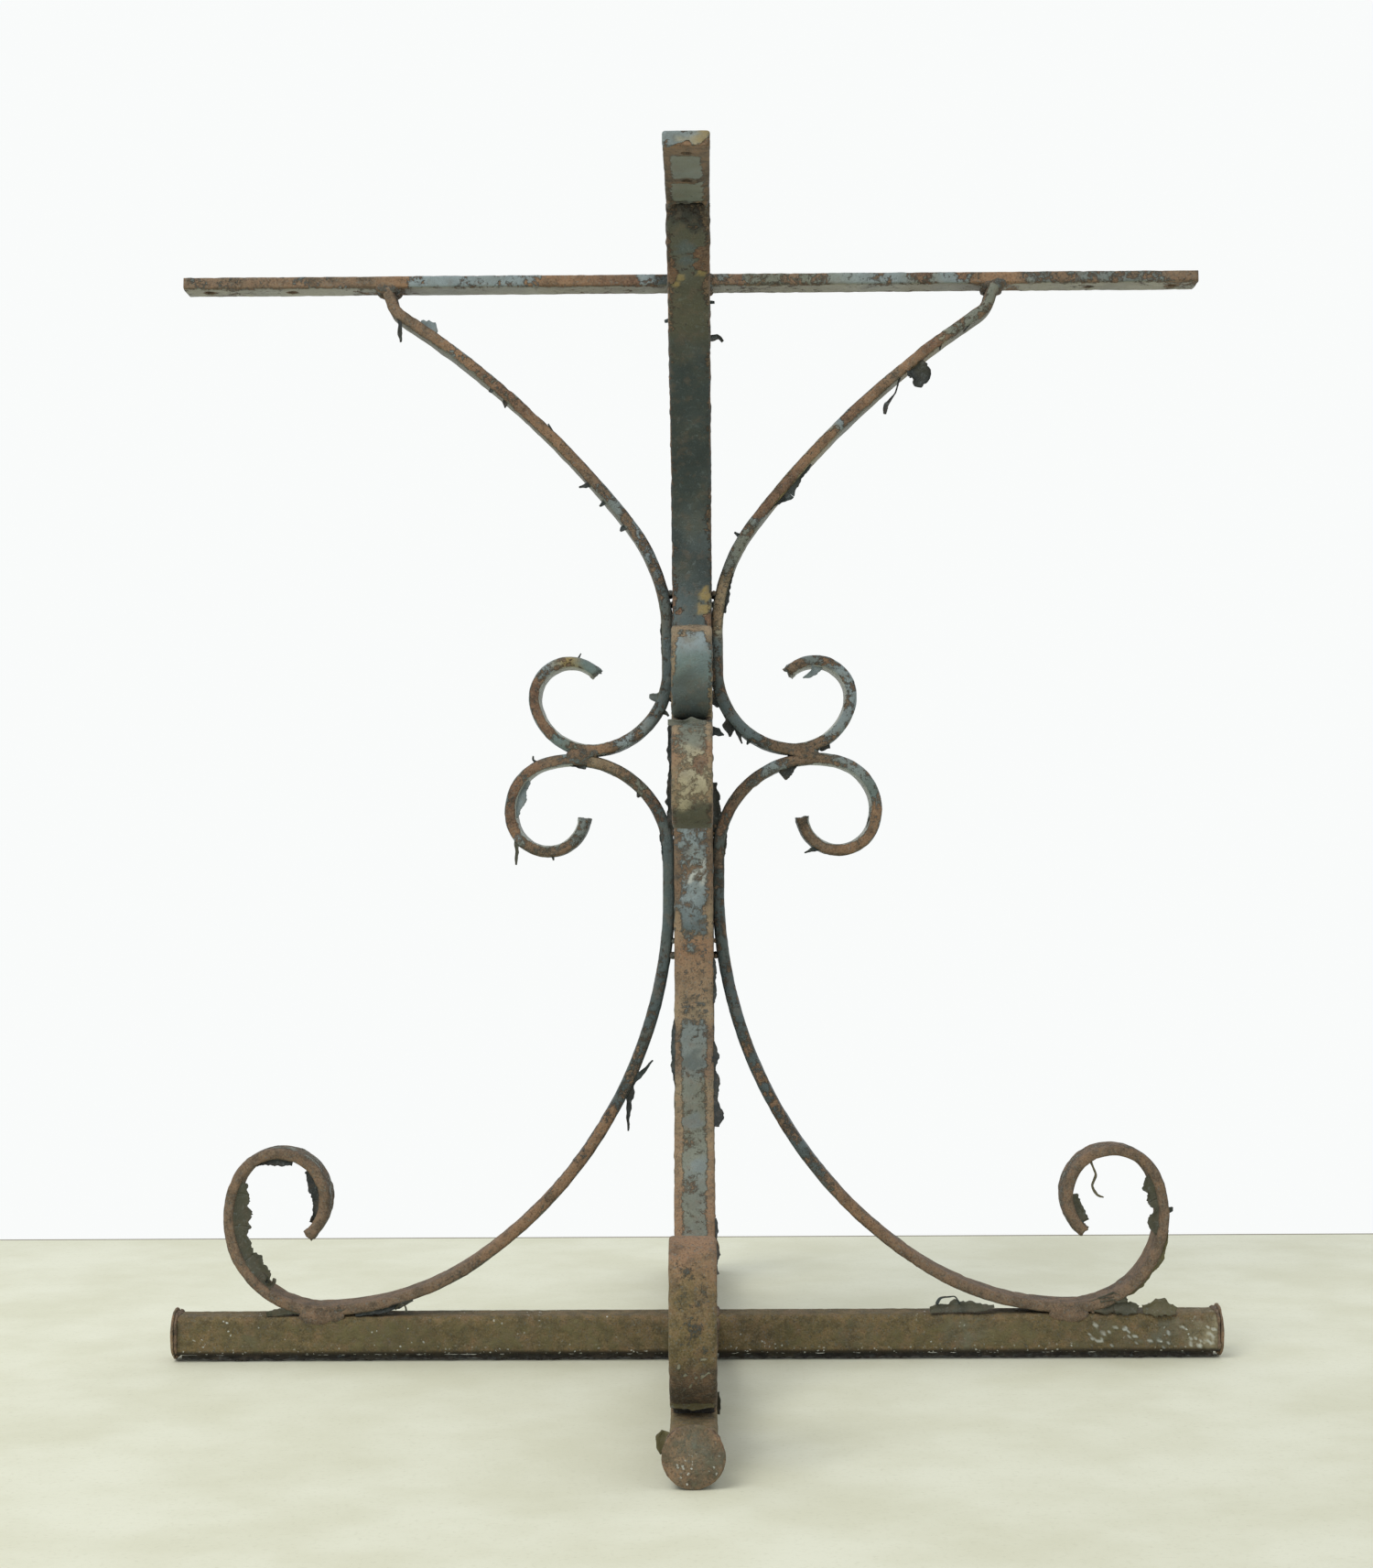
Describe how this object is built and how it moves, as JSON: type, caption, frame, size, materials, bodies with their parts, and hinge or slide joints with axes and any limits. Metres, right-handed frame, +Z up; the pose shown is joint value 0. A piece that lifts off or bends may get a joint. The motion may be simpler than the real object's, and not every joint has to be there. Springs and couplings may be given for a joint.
{
  "type": "table base",
  "caption": "Wrought steel pedestal table base: flat cross on top, square post, curled scroll brackets on each arm, cross of square tubes with round end caps.",
  "frame": {"origin": "on the floor, under the centre line of the post", "axes": "+Z up the post, +X along the right-hand arm, -Y along the front arm"},
  "size_m": [0.6868, 0.6868, 0.711],
  "materials": {
    "post_paint": "old slate paint over rust",
    "top_bar_paint": "weathered grey-blue paint with rust patches",
    "upper_scroll_paint": "slate paint flaking from rust",
    "lower_scroll_rust": "brown rust with remains of paint",
    "base_tube_paint": "olive-brown rusty paint with pale specks",
    "end_cap_paint": "brown rust with remains of paint",
    "weld_metal": "rusty weld metal with remains of paint"
  },
  "bodies": {
    "root": {"center_post": "post_paint", "top_bar_cross": "top_bar_paint", "base_tube_cross": "base_tube_paint", "top_bar_front": "top_bar_paint", "base_tube_front": "base_tube_paint", "top_bar_back": "top_bar_paint", "base_tube_back": "base_tube_paint", "upper_scroll_right": "upper_scroll_paint", "lower_scroll_right": "lower_scroll_rust", "end_cap_right": "end_cap_paint", "upper_scroll_back": "upper_scroll_paint", "lower_scroll_back": "lower_scroll_rust", "end_cap_back": "end_cap_paint", "upper_scroll_left": "upper_scroll_paint", "lower_scroll_left": "lower_scroll_rust", "end_cap_left": "end_cap_paint", "upper_scroll_front": "upper_scroll_paint", "lower_scroll_front": "lower_scroll_rust", "end_cap_front": "end_cap_paint", "top_joint_welds": "weld_metal", "upper_scroll_end_welds": "weld_metal", "upper_scroll_post_welds": "weld_metal", "scroll_pair_welds": "weld_metal", "lower_scroll_post_welds": "weld_metal", "lower_scroll_foot_welds": "weld_metal", "post_foot_welds": "weld_metal", "base_joint_welds": "weld_metal", "end_cap_welds": "weld_metal"}
  },
  "joints": []
}
